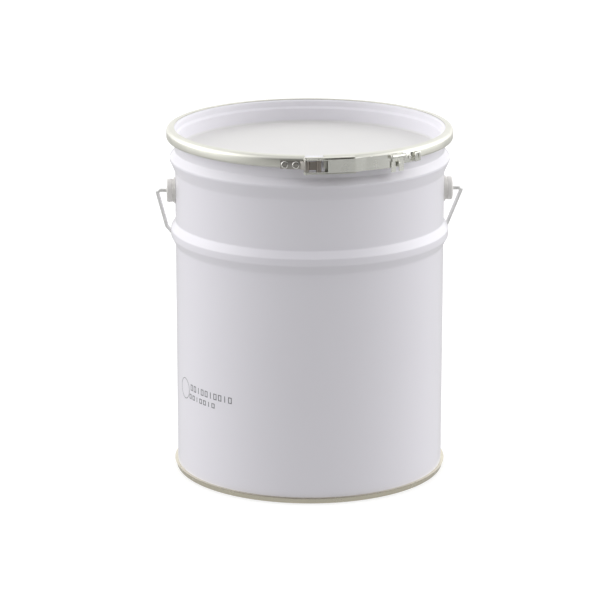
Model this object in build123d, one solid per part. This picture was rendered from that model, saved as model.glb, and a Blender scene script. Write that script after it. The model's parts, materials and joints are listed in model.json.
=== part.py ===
"""Twenty-litre open-head steel pail: beaded body, seamed bottom, recessed lid, lever-lock ring and wire bail.

Millimetres. The can's axis is Z, the base stands on Z = 0, the ring's lever closes at the front (-Y) and the
bail ears are on the X axis. Angles around the can are in degrees from the front, growing towards +X.
"""

import os
from math import atan2, cos, degrees, hypot, radians, sin, sqrt

from build123d import *

# Sheet metal
BODY_SHEET = 0.4
LID_SHEET = 0.45
RING_SHEET = 0.8
SEAM_GAP = 0.05

# Body
BODY_RADIUS = 143.5
HEIGHT = 374.0
UPPER_BEAD_RISE = 5.7
UPPER_BEAD_BELOW_TOP = 33.0
UPPER_BEAD_NECK = 8.2
UPPER_BEAD_FOOT = 14.2
UPPER_BEAD_CREST = 2.0
LOWER_BEAD_RISE = 5.0
LOWER_BEAD_BELOW_TOP = 109.2
LOWER_BEAD_NECK = 8.1
LOWER_BEAD_FLAT = 7.4
LOWER_BEAD_FOOT = 9.2
CURL_WIDTH = 7.0
CURL_DEPTH = 8.4
CURL_BEND = 3.3
CURL_MOUTH = 2.4

# Bottom end and its double seam
SEAM_HEIGHT = 6.3
SEAM_BEND = 0.42
END_HOOK_LOW = 1.4
COMPOUND_HEIGHT = 0.5
PANEL_RISE = 8.0
PANEL_STEP = 2.0
PANEL_STEP_RADIUS = 119.0

# Lid
LID_RECESS = 24.8
LID_PLUG_CLEARANCE = 0.5
LID_TAPER = 2.0
LID_STEP_DEPTH = 9.0
LID_STEP_HALF = 1.2
LID_STEP_BEND = 2.0
LID_PANEL_BEND = 3.0
LID_TURN = 5.0
LID_SKIRT_CLEARANCE = 0.3
GASKET_THICKNESS = 1.1
GASKET_WIDTH = 3.2
GASKET_FROM_WALL = 2.75
GASKET_EDGE = 0.3
LID_PLUG_BEND = 2.0
LID_SKIRT_BEND = 3.4
REST_GAP = 0.1

# Lever-lock ring
RING_CLEARANCE = 0.35
RING_LOWER_LIP = 6.2
RING_LIP_DROP = 2.6
RING_BAND_HEIGHT = 13.7
RING_UPPER_LIP = 8.2
RING_SHOULDER_BEND = 4.0
RING_FOOT_BEND = 1.8
RING_GAP_LEFT = -1.9
RING_GAP_RIGHT = 5.4

# Closure: lever, link, strap and their pivots. The whole closure is set a little round from the front
CLOSURE_TURN = -2.5
CLOSURE_DROP = 8.8
PIVOT_REACH = 4.6
PIVOT_X = -3.3
LINK_ARM = 12.5
LINK_EYE_DROP = 0.3
OVER_CENTRE = 0.8
PIN_RADIUS = 1.5
PIN_HEAD_RISE = 0.9
HINGE_PIN_RADIUS = 1.3
RUNNING = 0.05
BARREL_END_GAP = 0.3
CUP_CLEARANCE = 0.2
CUP_WALL = 1.0
LINK_EYE_WALL = 1.1
LINK_PLATE = 1.4
LEVER_HALF_HEIGHT = 7.0
LEVER_SHEET = 0.9
LEVER_PROUD = 7.6
HANDLE_PROUD = 4.6
LEVER_INNER_PROUD = 1.7
HANDLE_INNER_PROUD = 1.2
WINDOW_END = 6.7
DEEP_END = 17.3
HANDLE_START = 21.0
LEVER_END = 37.6

# Strap riveted to the free end of the ring
STRAP_SHEET = 1.2
STRAP_HALF_HEIGHT = 4.2
STRAP_START = -11.3
STRAP_RIVET_ANGLES = (-9.5, -5.2)
STRAP_RIVET_HEAD = 3.9
STRAP_RIVET_BORE = 2.3
RIVET_HEAD_HEIGHT = 1.3
RIVET_TUBE_WALL = 1.5
RIVET_TUBE_DEPTH = 1.2

# Fulcrum bracket on the fixed end of the ring
BRACKET_SHEET = 0.8
BRACKET_INSIDE = 7.7
BRACKET_RIVET_ANGLES = (9.5, 14.0)
BRACKET_FROM_GAP = 0.4
BRACKET_BELOW_LEVER = 1.6
LUG_OFF_RING = 1.2
BRACKET_RIVET_RADIUS = 2.0
KEEPER_RIVET_RADIUS = 1.2

# Keeper and safety catch
KEEPER_SHEET = 0.8
KEEPER_HALF_HEIGHT = 5.4
KEEPER_START = 32.0
KEEPER_END = 47.2
KEEPER_RIVET_ANGLES = (39.5, 42.1)
EYE_ANGLE = 45.2
EYE_RISE = 3.6
EYE_LENGTH = 8.4
CATCH_ANGLE = 34.6
CATCH_HALF_WIDTH = 7.8
CATCH_SHEET = 0.9
CATCH_REACH = 14.3
CATCH_SLOT = 4.2
CATCH_PIN_RADIUS = 1.0
CATCH_OFF_LEVER = 0.4
CATCH_BARREL_RISE = 4.7
CATCH_CORNER = 1.4
CATCH_LUG = 1.0
STAPLE_THICKNESS = 1.5
STAPLE_WIDTH = 4.6
STAPLE_DROP = 3.4
STAPLE_REACH = 4.6

# Ears and bail
EAR_BELOW_TOP = 69.1
EAR_RADIUS = 12.6
EAR_PROUD = 9.2
EAR_SHEET = 1.2
EAR_BEND = 2.4
EAR_GROOVE_BACK = 5.6
EAR_GROOVE_WIDTH = 0.7
EAR_GROOVE_DEPTH = 0.6
FLANGE_RADIUS = 14.2
WIRE_RADIUS = 2.0
WIRE_FIT = 0.08
BAIL_SHOULDER_OUT = 19.5
BAIL_REACH = 200.0
BAIL_KNEE_OUT = 9.7
BAIL_KNEE_DOWN = 83.0
BAIL_CORNER = 106.4
BAIL_BENDS = (4.0, 14.0, 45.0)
BAIL_END_INSIDE = 3.0
BAIL_HEAD_RISE = 1.4
BAIL_HEAD_LENGTH = 2.4
GRIP_RADIUS = 7.0
GRIP_LENGTH = 98.0
GRIP_GAP = 0.3


# Levels and radii that follow from the values above
ring_top = HEIGHT
lid_top = ring_top - RING_SHEET - REST_GAP
gasket_top = lid_top - LID_SHEET
curl_top = gasket_top - GASKET_THICKNESS - REST_GAP
curl_bottom = curl_top - CURL_DEPTH
curl_radius = BODY_RADIUS + CURL_WIDTH
wall_radius = BODY_RADIUS - BODY_SHEET / 2
skirt_radius = curl_radius + LID_SKIRT_CLEARANCE + LID_SHEET / 2
ring_inner = skirt_radius + LID_SHEET / 2 + RING_CLEARANCE
ring_outer = ring_inner + RING_SHEET
closure_z = ring_top - CLOSURE_DROP
ear_z = HEIGHT - EAR_BELOW_TOP
ear_face = BODY_RADIUS + EAR_PROUD
barrel_half = LEVER_HALF_HEIGHT - LEVER_SHEET - BARREL_END_GAP
strap_barrel = HINGE_PIN_RADIUS + STRAP_SHEET
strap_shank = STRAP_RIVET_HEAD - RIVET_TUBE_WALL
catch_barrel = CATCH_PIN_RADIUS + CATCH_SHEET
catch_barrel_out = catch_barrel + CATCH_OFF_LEVER


def polar(radius, angle):
    """Point on a circle about the can's axis, in plan."""
    return Vector(radius * sin(radians(angle)), -radius * cos(radians(angle)), 0)


def plan_arc(radius, start, end):
    """Arc about the can's axis, in plan."""
    return ThreePointArc(polar(radius, start), polar(radius, (start + end) / 2), polar(radius, end))


def radial_plane(radius, angle, z):
    """Plane on the can's side: X goes round, Y goes up and Z points outwards."""
    origin = polar(radius, angle) + Vector(0, 0, z)
    around = Vector(cos(radians(angle)), sin(radians(angle)), 0)
    outward = Vector(sin(radians(angle)), -cos(radians(angle)), 0)
    return Plane(origin=origin, x_dir=around, z_dir=outward)


def sector(inner, outer, start, end, half_height, z=0.0):
    """Curved plate between two radii and two angles."""
    inside = plan_arc(inner, start, end)
    outside = plan_arc(outer, start, end)
    ends = [Line(inside @ 0, outside @ 0), Line(inside @ 1, outside @ 1)]
    face = make_face([inside.edge(), outside.edge()] + [line.edge() for line in ends])
    return Pos(0, 0, z) * extrude(face, half_height, dir=(0, 0, 1), both=True)


def upright(radius, height, x, y, z):
    """Upright cylinder about a point in plan."""
    return Pos(x, y, z) * Cylinder(radius, height)


def one_side(points, bends, offset):
    """Corners and bend radii of the line that runs beside a bent sheet's centreline."""
    directions = []
    for first, second in zip(points, points[1:]):
        length = hypot(second[0] - first[0], second[1] - first[1])
        directions.append(((second[0] - first[0]) / length, (second[1] - first[1]) / length))
    normals = [(-d[1], d[0]) for d in directions]
    moved = [(points[0][0] + offset * normals[0][0], points[0][1] + offset * normals[0][1])]
    radii = []
    for i, bend in enumerate(bends):
        before, after = normals[i], normals[i + 1]
        share = offset / (1 + before[0] * after[0] + before[1] * after[1])
        corner = points[i + 1]
        moved.append((corner[0] + share * (before[0] + after[0]), corner[1] + share * (before[1] + after[1])))
        turn = directions[i][0] * directions[i + 1][1] - directions[i][1] * directions[i + 1][0]
        radii.append(bend - offset if turn > 0 else bend + offset)
    moved.append((points[-1][0] + offset * normals[-1][0], points[-1][1] + offset * normals[-1][1]))
    return FilletPolyline(*moved, radius=radii)


def sheet_section(points, bends, thickness):
    """Section of a bent sheet in the radius-height plane, from its centreline corners and bend radii."""
    left = one_side(points, bends, thickness / 2)
    right = one_side(points, bends, -thickness / 2)
    ends = [Line(left @ 0, right @ 0), Line(left @ 1, right @ 1)]
    face = make_face(left.edges() + right.edges() + [line.edge() for line in ends])
    return Plane.XZ * face


def turned(points, bends, thickness):
    """Bent sheet spun about the can's axis."""
    return revolve(sheet_section(points, bends, thickness), Axis.Z, 360)


def body_shell():
    """Side wall with its bottom hook, two beads and the curl at the mouth."""
    hook_radius = wall_radius + 2 * (BODY_SHEET + SEAM_GAP)
    hook_floor = BODY_SHEET + SEAM_GAP + BODY_SHEET / 2
    hook_top = SEAM_HEIGHT - BODY_SHEET - COMPOUND_HEIGHT - 4 * SEAM_GAP
    upper = HEIGHT - UPPER_BEAD_BELOW_TOP
    lower = HEIGHT - LOWER_BEAD_BELOW_TOP
    curl_low = curl_bottom + BODY_SHEET / 2
    curl_high = curl_top - BODY_SHEET / 2
    curl_out = curl_radius - BODY_SHEET / 2
    curl_in = wall_radius + CURL_MOUTH
    points = [
        (hook_radius, hook_top),
        (hook_radius, hook_floor),
        (wall_radius, hook_floor),
        (wall_radius, lower - LOWER_BEAD_FLAT - LOWER_BEAD_FOOT),
        (wall_radius + LOWER_BEAD_RISE, lower - LOWER_BEAD_FLAT),
        (wall_radius + LOWER_BEAD_RISE, lower),
        (wall_radius, lower + LOWER_BEAD_NECK),
        (wall_radius, upper - UPPER_BEAD_FOOT),
        (wall_radius + UPPER_BEAD_RISE, upper - UPPER_BEAD_CREST / 2),
        (wall_radius + UPPER_BEAD_RISE, upper + UPPER_BEAD_CREST / 2),
        (wall_radius, upper + UPPER_BEAD_NECK),
        (wall_radius, curl_high),
        (curl_out, curl_high),
        (curl_out, curl_low),
        (curl_in, curl_low),
        (curl_in, curl_low + CURL_MOUTH),
    ]
    lower_bends = [8.0, 4.0, 3.0, 4.0]
    upper_bends = [8.0, 0.9, 0.9, 2.5]
    curl_bends = [CURL_BEND, CURL_BEND, 2.2, 1.1]
    bends = [SEAM_BEND, SEAM_BEND] + lower_bends + upper_bends + curl_bends
    return turned(points, bends, BODY_SHEET)


def bottom_end():
    """Pressed bottom: raised panel, chuck wall and the hook that wraps the body's flange."""
    chuck_radius = wall_radius - BODY_SHEET - SEAM_GAP
    cover_radius = wall_radius + 3 * (BODY_SHEET + SEAM_GAP)
    hook_radius = wall_radius + BODY_SHEET + SEAM_GAP
    floor = BODY_SHEET / 2
    crown = SEAM_HEIGHT - BODY_SHEET / 2
    points = [
        (0, PANEL_RISE),
        (PANEL_STEP_RADIUS, PANEL_RISE),
        (PANEL_STEP_RADIUS + PANEL_STEP, PANEL_RISE - PANEL_STEP),
        (chuck_radius, PANEL_RISE - PANEL_STEP),
        (chuck_radius, floor),
        (cover_radius, floor),
        (cover_radius, crown),
        (hook_radius, crown),
        (hook_radius, END_HOOK_LOW),
    ]
    return turned(points, [1.5, 1.5, 1.6] + 4 * [SEAM_BEND], BODY_SHEET)


def seam_compound():
    """Bead of sealing compound shut in the top of the double seam."""
    radius = wall_radius + 2 * (BODY_SHEET + SEAM_GAP)
    top = SEAM_HEIGHT - BODY_SHEET - 2 * SEAM_GAP
    half_width = BODY_SHEET / 2 - SEAM_GAP
    bead = Cylinder(radius + half_width, COMPOUND_HEIGHT) - Cylinder(radius - half_width, COMPOUND_HEIGHT)
    return Pos(0, 0, top - COMPOUND_HEIGHT / 2) * bead


def lid():
    """Recessed cover: flat panel, stepped plug wall, and the channel that sits over the curl."""
    plug_radius = BODY_RADIUS - BODY_SHEET - LID_PLUG_CLEARANCE - LID_SHEET / 2
    panel_z = ring_top - RING_SHEET - LID_RECESS + LID_SHEET / 2
    crest = lid_top - LID_SHEET / 2
    step_z = ring_top - LID_STEP_DEPTH
    points = [
        (0, panel_z),
        (plug_radius - LID_TAPER, panel_z),
        (plug_radius - LID_TAPER, step_z - LID_STEP_HALF),
        (plug_radius, step_z + LID_STEP_HALF),
        (plug_radius, crest),
        (skirt_radius, crest),
        (skirt_radius, curl_bottom + 2.4),
    ]
    bends = [LID_PANEL_BEND, LID_STEP_BEND, LID_STEP_BEND, LID_PLUG_BEND, LID_SKIRT_BEND]
    return Rot(0, 0, LID_TURN) * turned(points, bends, LID_SHEET)


def lid_gasket():
    """Flat sealing ring between the lid's channel and the curl."""
    middle = BODY_RADIUS + GASKET_FROM_WALL
    section = Rectangle(GASKET_WIDTH, GASKET_THICKNESS)
    section = fillet(section.vertices(), GASKET_EDGE)
    placed = Pos(middle, 0, gasket_top - GASKET_THICKNESS / 2) * (Rot(90, 0, 0) * section)
    return revolve(placed, Axis.Z, 360)


def ring_section():
    """Section of the ring's band, open towards the can."""
    middle = ring_outer - RING_SHEET / 2
    top = ring_top - RING_SHEET / 2
    low = ring_top - RING_BAND_HEIGHT + RING_LIP_DROP
    points = [
        (ring_outer - RING_UPPER_LIP, top),
        (middle, top),
        (middle, low),
        (ring_outer - RING_LOWER_LIP, low - RING_LIP_DROP + RING_SHEET / 2),
    ]
    return sheet_section(points, [RING_SHOULDER_BEND, RING_FOOT_BEND], RING_SHEET)


def ring_band():
    """Split spring-steel band, open at the front under the lever."""
    section = Rot(0, 0, -90 + RING_GAP_RIGHT) * ring_section()
    return revolve(section, Axis.Z, 360 - (RING_GAP_RIGHT - RING_GAP_LEFT))


def pivots():
    """Plan positions of the lever's fulcrum, the link's pin on the lever and the strap's hinge pin."""
    fulcrum_radius = ring_outer + PIVOT_REACH
    fulcrum = Vector(PIVOT_X, -sqrt(fulcrum_radius**2 - PIVOT_X**2), 0)
    link = fulcrum + Vector(LINK_ARM, LINK_EYE_DROP, 0)
    hinge = fulcrum + Vector(0, OVER_CENTRE, 0)
    return fulcrum, link, hinge


def lever_edge(inset):
    """Outer edge of the lever in plan, moved inwards by the inset: deep channel, ramp, then the handle."""
    deep = ring_outer + LEVER_PROUD - inset
    handle = ring_outer + HANDLE_PROUD - inset
    first = plan_arc(deep, WINDOW_END, DEEP_END)
    second = plan_arc(handle, HANDLE_START, LEVER_END)
    return [first, Line(first @ 1, second @ 0), second]


def lever():
    """Pressed channel lever with an open window over the link and lugs for the safety catch."""
    fulcrum, link, _ = pivots()
    deep_inner = ring_outer + LEVER_INNER_PROUD
    handle_inner = ring_outer + HANDLE_INNER_PROUD
    outer = lever_edge(0.0)
    inner = lever_edge(LEVER_SHEET)
    ends = [Line(outer[0] @ 0, inner[0] @ 0), Line(outer[2] @ 1, inner[2] @ 1)]
    web_face = make_face([piece.edge() for piece in outer + inner + ends])
    web = extrude(web_face, LEVER_HALF_HEIGHT, dir=(0, 0, 1), both=True)

    nose = degrees(atan2(fulcrum.X, -fulcrum.Y))
    tip = plan_arc(ring_outer + LEVER_PROUD, nose, WINDOW_END)
    back_deep = plan_arc(deep_inner, nose, DEEP_END)
    back_handle = plan_arc(handle_inner, HANDLE_START - 2, LEVER_END)
    edges = [tip] + outer + [back_deep, back_handle]
    edges += [Line(tip @ 0, back_deep @ 0), Line(back_deep @ 1, back_handle @ 0)]
    edges.append(Line(outer[2] @ 1, back_handle @ 1))
    flange_face = make_face([piece.edge() for piece in edges])
    flange = extrude(flange_face, LEVER_SHEET)
    nose_radius = (LEVER_PROUD - LEVER_INNER_PROUD) / 2
    flange += Pos(fulcrum.X, fulcrum.Y, LEVER_SHEET / 2) * Cylinder(nose_radius, LEVER_SHEET)
    body = web
    body += Pos(0, 0, LEVER_HALF_HEIGHT - LEVER_SHEET) * flange
    body += Pos(0, 0, -LEVER_HALF_HEIGHT) * flange
    body -= upright(PIN_RADIUS + RUNNING, 3 * LEVER_HALF_HEIGHT, fulcrum.X, fulcrum.Y, 0)
    body -= upright(PIN_RADIUS, 3 * LEVER_HALF_HEIGHT, link.X, link.Y, 0)

    handle_face = ring_outer + HANDLE_PROUD
    place = radial_plane(handle_face, CATCH_ANGLE, 0)
    slot = Pos(1.0, -STAPLE_DROP, 0) * Box(STAPLE_THICKNESS + 3.0, STAPLE_WIDTH + 1.4, 4.0)
    body -= place * slot
    for side in (-1, 1):
        lug = Pos(side * (CATCH_HALF_WIDTH + 0.9), CATCH_BARREL_RISE - 0.1, 1.2) * Box(CATCH_LUG, 3.6, 4.8)
        body += place * lug
    barrel = place * (Pos(0, CATCH_BARREL_RISE, catch_barrel_out) * Rot(0, 90, 0))
    body -= barrel * Cylinder(CATCH_PIN_RADIUS, 40)
    return Pos(0, 0, closure_z) * body


def safety_catch():
    """Two-pronged flap hinged on the lever: its prongs hang each side of the keeper's staple."""
    place = radial_plane(ring_outer + HANDLE_PROUD, CATCH_ANGLE, closure_z)
    plate_height = CATCH_BARREL_RISE + CATCH_REACH
    plate = Pos(0, CATCH_BARREL_RISE - plate_height / 2, CATCH_OFF_LEVER + CATCH_SHEET / 2)
    plate = plate * Box(2 * CATCH_HALF_WIDTH, plate_height, CATCH_SHEET)
    slot_top = -0.2
    slot = Box(CATCH_SLOT, CATCH_REACH + slot_top, 6.0)
    slot = Pos(0, (slot_top - CATCH_REACH) / 2 - 0.01, 0) * slot
    flap = plate - slot
    corners = flap.edges().filter_by(Axis.Z).group_by(Axis.Y)[0]
    flap = fillet(corners, CATCH_CORNER)
    barrel = Pos(0, CATCH_BARREL_RISE, catch_barrel_out) * Rot(0, 90, 0)
    flap += barrel * Cylinder(catch_barrel, 2 * CATCH_HALF_WIDTH)
    flap -= barrel * Cylinder(CATCH_PIN_RADIUS + RUNNING, 40)
    return place * flap


def catch_pin():
    """Hinge pin of the safety catch, held in the lever's two lugs."""
    place = radial_plane(ring_outer + HANDLE_PROUD, CATCH_ANGLE, closure_z)
    length = 2 * (CATCH_HALF_WIDTH + 1.4)
    barrel = Pos(0, CATCH_BARREL_RISE, catch_barrel_out) * Rot(0, 90, 0)
    pin = barrel * Cylinder(CATCH_PIN_RADIUS, length)
    for side in (-1, 1):
        head = Pos(side * (length / 2 + 0.25), CATCH_BARREL_RISE, catch_barrel_out) * Rot(0, 90, 0)
        pin += head * Cylinder(CATCH_PIN_RADIUS + 0.5, 0.5)
    return place * pin


def link_pin():
    """Pin that joins the link to the lever, with a low head outside each flange."""
    _, link, _ = pivots()
    pin = upright(PIN_RADIUS, 2 * LEVER_HALF_HEIGHT, link.X, link.Y, closure_z)
    for side in (-1, 1):
        head_z = closure_z + side * (LEVER_HALF_HEIGHT + 0.2)
        pin += upright(PIN_RADIUS + PIN_HEAD_RISE, 0.4, link.X, link.Y, head_z)
    return pin


def link():
    """Link: an eye on the lever's pin, a plate, and a cup that bears on the strap's barrel."""
    _, eye, hinge = pivots()
    cup_inner = strap_barrel + CUP_CLEARANCE
    cup_outer = cup_inner + CUP_WALL
    body = upright(PIN_RADIUS + LINK_EYE_WALL, 2 * barrel_half, eye.X, eye.Y, 0)
    plate_start = hinge.X + cup_inner + CUP_WALL / 3
    plate_length = eye.X - plate_start
    body += Pos((plate_start + eye.X) / 2, eye.Y, 0) * Box(plate_length, LINK_PLATE, 2 * STRAP_HALF_HEIGHT)
    cup = Cylinder(cup_outer, 2 * STRAP_HALF_HEIGHT) - Cylinder(cup_inner, 2 * barrel_half)
    keep = Pos(cup_outer, -cup_outer, 0) * Box(2 * cup_outer, 2 * cup_outer, 2 * barrel_half)
    body += Pos(hinge.X, hinge.Y, 0) * (cup & keep)
    body -= upright(PIN_RADIUS + RUNNING, 3 * barrel_half, eye.X, eye.Y, 0)
    return Pos(0, 0, closure_z) * body


def strap():
    """Strap riveted to the ring's free end, rolled into a barrel for the hinge pin."""
    _, _, hinge = pivots()
    inner = ring_outer
    outer = inner + STRAP_SHEET
    end = degrees(atan2(hinge.X, -hinge.Y))
    body = sector(inner, outer, STRAP_START, end, STRAP_HALF_HEIGHT)
    body += upright(strap_barrel, 2 * barrel_half, hinge.X, hinge.Y, 0)
    foot = polar(outer - 0.4, end - 2.6)
    ramp = make_face(
        Polyline(
            foot,
            (hinge.X - strap_barrel * 0.75, hinge.Y - strap_barrel * 0.6),
            (hinge.X, hinge.Y),
            polar(outer - 0.4, end),
            close=True,
        ).edges()
    )
    body += extrude(ramp, STRAP_HALF_HEIGHT, dir=(0, 0, 1), both=True)
    body -= upright(HINGE_PIN_RADIUS, 3 * barrel_half, hinge.X, hinge.Y, 0)
    for angle in STRAP_RIVET_ANGLES:
        body -= radial_plane(inner, angle, 0) * Cylinder(strap_shank, 8)
    return Pos(0, 0, closure_z) * body


def hinge_pin():
    """Pin in the strap's barrel."""
    _, _, hinge = pivots()
    return upright(HINGE_PIN_RADIUS, 2 * barrel_half, hinge.X, hinge.Y, closure_z)


def strap_rivets():
    """Two tubular rivets through the strap and the band."""
    rivets = []
    for angle in STRAP_RIVET_ANGLES:
        place = radial_plane(ring_outer, angle, closure_z)
        shank_length = STRAP_SHEET + RING_SHEET
        rivet = Pos(0, 0, STRAP_SHEET - shank_length / 2) * Cylinder(strap_shank, shank_length)
        head = Pos(0, 0, STRAP_SHEET + RIVET_HEAD_HEIGHT / 2) * Cylinder(STRAP_RIVET_HEAD, RIVET_HEAD_HEIGHT)
        head = fillet(head.edges().group_by(Axis.Z)[-1], 0.9)
        rivet += head
        bore_top = STRAP_SHEET + RIVET_HEAD_HEIGHT
        rivet -= Pos(0, 0, bore_top) * Cylinder(STRAP_RIVET_BORE, 2 * RIVET_TUBE_DEPTH)
        rivets.append(place * rivet)
    return Compound(children=rivets)


def fulcrum_bracket():
    """Channel riveted to the ring's fixed end: its side walls run forward as lugs for the lever's fulcrum."""
    fulcrum, _, _ = pivots()
    inner = ring_outer
    outside = BRACKET_INSIDE + BRACKET_SHEET
    start = RING_GAP_RIGHT + BRACKET_FROM_GAP
    base = sector(inner, inner + BRACKET_SHEET, start, DEEP_END, outside)
    nose = degrees(atan2(fulcrum.X, -fulcrum.Y))
    wall_top = ring_outer + LEVER_PROUD - BRACKET_BELOW_LEVER
    lug_floor = ring_outer + LUG_OFF_RING
    lug_radius = wall_top - ring_outer - PIVOT_REACH
    for side in (-1, 1):
        z = side * (BRACKET_INSIDE + BRACKET_SHEET / 2)
        base += sector(inner, wall_top, start, DEEP_END, BRACKET_SHEET / 2, z)
        base += sector(lug_floor, wall_top, nose, start + 0.6, BRACKET_SHEET / 2, z)
        base += upright(max(lug_radius, PIN_RADIUS + 1.0), BRACKET_SHEET, fulcrum.X, fulcrum.Y, z)
    base -= upright(PIN_RADIUS, 4 * outside, fulcrum.X, fulcrum.Y, 0)
    for angle in BRACKET_RIVET_ANGLES:
        base -= radial_plane(inner, angle, 0) * Cylinder(BRACKET_RIVET_RADIUS, 8)
    return Pos(0, 0, closure_z) * base


def fulcrum_rivets():
    """Two short rivets, one each side, on which the lever turns."""
    fulcrum, _, _ = pivots()
    inside = LEVER_HALF_HEIGHT - LEVER_SHEET
    outside = BRACKET_INSIDE + BRACKET_SHEET
    head = 0.3
    rivets = []
    for side in (-1, 1):
        middle = closure_z + side * (inside + outside) / 2
        head_middle = closure_z + side * (outside + head / 2)
        rivet = upright(PIN_RADIUS, outside - inside, fulcrum.X, fulcrum.Y, middle)
        rivet += upright(PIN_RADIUS + PIN_HEAD_RISE, head, fulcrum.X, fulcrum.Y, head_middle)
        rivets.append(rivet)
    return Compound(children=rivets)


def plate_rivets(angles, sheet, radius):
    """Domed rivets that hold a plate on the band, flush inside it."""
    rivets = []
    for angle in angles:
        place = radial_plane(ring_outer, angle, closure_z)
        length = sheet + RING_SHEET
        rivet = Pos(0, 0, sheet - length / 2) * Cylinder(radius, length)
        dome = Pos(0, 0, sheet + 0.5) * Cylinder(radius + 1.2, 1.0)
        dome = fillet(dome.edges().group_by(Axis.Z)[-1], 0.8)
        rivets.append(place * (rivet + dome))
    return Compound(children=rivets)


def keeper():
    """Plate on the band with the staple that the catch straddles and a raised eye for a seal."""
    outer = ring_outer + KEEPER_SHEET
    body = sector(ring_outer, outer, KEEPER_START, KEEPER_END, KEEPER_HALF_HEIGHT)
    staple_out = HANDLE_PROUD + STAPLE_REACH
    place = radial_plane(ring_outer, CATCH_ANGLE, 0)
    staple = Pos(0, -STAPLE_DROP, staple_out / 2 + 0.2) * Box(STAPLE_THICKNESS, STAPLE_WIDTH, staple_out - 0.4)
    staple -= Pos(0, -STAPLE_DROP, staple_out - 1.7) * Rot(0, 90, 0) * Cylinder(0.9, 8)
    body += place * staple
    eye_place = radial_plane(outer, EYE_ANGLE, 0)
    eye = Pos(0, 0, EYE_RISE / 2 - 0.2) * Box(EYE_LENGTH, 2 * KEEPER_HALF_HEIGHT - 1.2, EYE_RISE + 0.4)
    eye = fillet(eye.edges().filter_by(Axis.Y).group_by(Axis.Z)[-1], 1.6)
    eye -= Pos(0, 0, EYE_RISE / 2 - 0.9) * Box(EYE_LENGTH - 2.4, 20, EYE_RISE - 0.2)
    eye -= Pos(1.0, 0, EYE_RISE) * Box(1.3, 5.6, 4.0)
    body += eye_place * eye
    for angle in KEEPER_RIVET_ANGLES:
        body -= radial_plane(ring_outer, angle, 0) * Cylinder(KEEPER_RIVET_RADIUS, 8)
    return Pos(0, 0, closure_z) * body


def rivet_holes():
    """Holes that the rivets need in the band."""
    rows = [
        (STRAP_RIVET_ANGLES, strap_shank),
        (BRACKET_RIVET_ANGLES, BRACKET_RIVET_RADIUS),
        (KEEPER_RIVET_ANGLES, KEEPER_RIVET_RADIUS),
    ]
    holes = []
    for angles, radius in rows:
        holes += [radial_plane(ring_outer, angle, closure_z) * Cylinder(radius, 8) for angle in angles]
    return holes


def ear(side):
    """Pressed cup on the wall with a flange that follows it, a groove, and a hole for the bail's end."""
    along = Rot(0, 90, 0)
    depth = EAR_PROUD + 6.0
    cup = Pos(ear_face - depth / 2, 0, 0) * along * Cylinder(EAR_RADIUS, depth)
    cup = fillet(cup.edges().group_by(Axis.X)[-1], EAR_BEND)
    cavity_depth = depth - EAR_SHEET
    cavity = Cylinder(EAR_RADIUS - EAR_SHEET, cavity_depth)
    cup -= Pos(ear_face - EAR_SHEET - cavity_depth / 2, 0, 0) * along * cavity
    groove = Cylinder(EAR_RADIUS + 2, EAR_GROOVE_WIDTH)
    groove -= Cylinder(EAR_RADIUS - EAR_GROOVE_DEPTH, EAR_GROOVE_WIDTH)
    cup -= Pos(ear_face - EAR_GROOVE_BACK, 0, 0) * along * groove
    cup -= Cylinder(BODY_RADIUS, 80)
    flange = Pos(BODY_RADIUS, 0, 0) * along * (Cylinder(FLANGE_RADIUS, 8) - Cylinder(EAR_RADIUS - EAR_SHEET, 8))
    flange &= Cylinder(BODY_RADIUS + EAR_SHEET, 80) - Cylinder(BODY_RADIUS, 80)
    cup += flange
    cup -= Pos(ear_face, 0, 0) * along * Cylinder(WIRE_RADIUS + WIRE_FIT, 10)
    cup = Pos(0, 0, ear_z) * cup
    return cup if side > 0 else mirror(cup, Plane.YZ)


def bail_plane():
    """Plane of the hanging bail: X across the can, Y from the ears towards the grip."""
    lean = (BODY_RADIUS + GRIP_RADIUS + GRIP_GAP) / BAIL_REACH
    drop = sqrt(1 - lean**2)
    return Plane(origin=(0, 0, ear_z), x_dir=(1, 0, 0), z_dir=(0, drop, lean))


def bail_wire():
    """Bail of round wire: headed ends in the ears, shoulders clear of the ring, straight middle."""
    start = BODY_RADIUS + BAIL_END_INSIDE
    shoulder = BODY_RADIUS + BAIL_SHOULDER_OUT
    knee = BODY_RADIUS + BAIL_KNEE_OUT
    corners = [
        (start, 0),
        (shoulder, 0),
        (knee, BAIL_KNEE_DOWN),
        (BAIL_CORNER, BAIL_REACH),
        (-BAIL_CORNER, BAIL_REACH),
        (-knee, BAIL_KNEE_DOWN),
        (-shoulder, 0),
        (-start, 0),
    ]
    path = FilletPolyline(*corners, radius=BAIL_BENDS + BAIL_BENDS[::-1])
    place = bail_plane()
    wire = sweep(Plane(origin=path @ 0, z_dir=path % 0) * Circle(WIRE_RADIUS), path=path)
    for side in (-1, 1):
        head = Cylinder(WIRE_RADIUS + BAIL_HEAD_RISE, BAIL_HEAD_LENGTH)
        wire += Pos(side * (start + BAIL_HEAD_LENGTH / 2), 0, 0) * Rot(0, 90, 0) * head
    return place * wire


def grip():
    """Moulded tube that turns on the bail's straight middle."""
    tube = Cylinder(GRIP_RADIUS, GRIP_LENGTH)
    tube = fillet(tube.edges(), 1.2)
    tube -= Cylinder(WIRE_RADIUS + WIRE_FIT, GRIP_LENGTH + 2)
    return bail_plane() * (Pos(0, BAIL_REACH, 0) * Rot(0, 90, 0) * tube)


def can_nodes():
    """The can itself, its lid and its bail."""
    return {
        "body_shell": body_shell(),
        "bottom_end": bottom_end(),
        "seam_compound": seam_compound(),
        "lid": lid(),
        "lid_gasket": lid_gasket(),
        "ear_left": ear(-1),
        "ear_right": ear(1),
        "bail_wire": bail_wire(),
        "grip": grip(),
    }


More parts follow.
